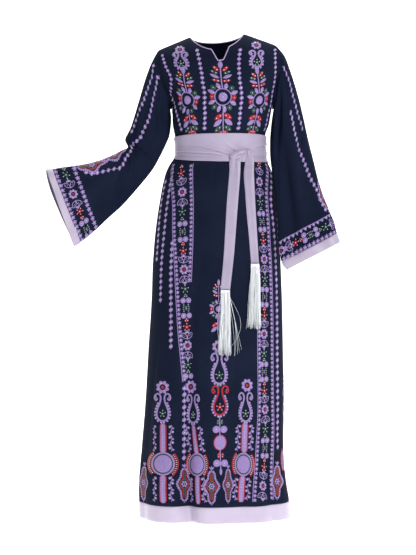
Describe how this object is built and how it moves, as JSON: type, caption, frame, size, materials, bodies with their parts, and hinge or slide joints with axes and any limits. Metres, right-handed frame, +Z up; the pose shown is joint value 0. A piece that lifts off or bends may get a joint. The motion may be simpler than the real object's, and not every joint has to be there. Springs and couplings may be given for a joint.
{
  "type": "palestinian thobe dress",
  "caption": "Full-length embroidered thobe dress in its worn form, with wide bell sleeves, satin hem and cuff bands and a tied sash with tasselled tails.",
  "frame": {"origin": "middle of the shoulder line, where the wearer's shoulders carry the dress", "axes": "+Z up, +X to the right of someone who faces the dress's front, -Y out of its front"},
  "size_m": [0.8592, 0.3491, 1.4254],
  "materials": {
    "dress_cloth": "matt woven crepe",
    "satin": "soft satin",
    "tassel_thread": "silky thread"
  },
  "bodies": {
    "root": {"front_panel": "dress_cloth", "back_panel": "dress_cloth", "sleeve_left": "dress_cloth", "sleeve_right": "dress_cloth", "hem_band_front": "satin", "hem_band_back": "satin", "cuff_band_left": "satin", "cuff_band_right": "satin", "neck_binding": "satin", "sash_inner_turn": "satin", "sash_outer_turn": "satin", "sash_knot": "satin", "sash_tail_left": "satin", "sash_tail_right": "satin", "tassel_left": "tassel_thread", "tassel_right": "tassel_thread"}
  },
  "joints": []
}
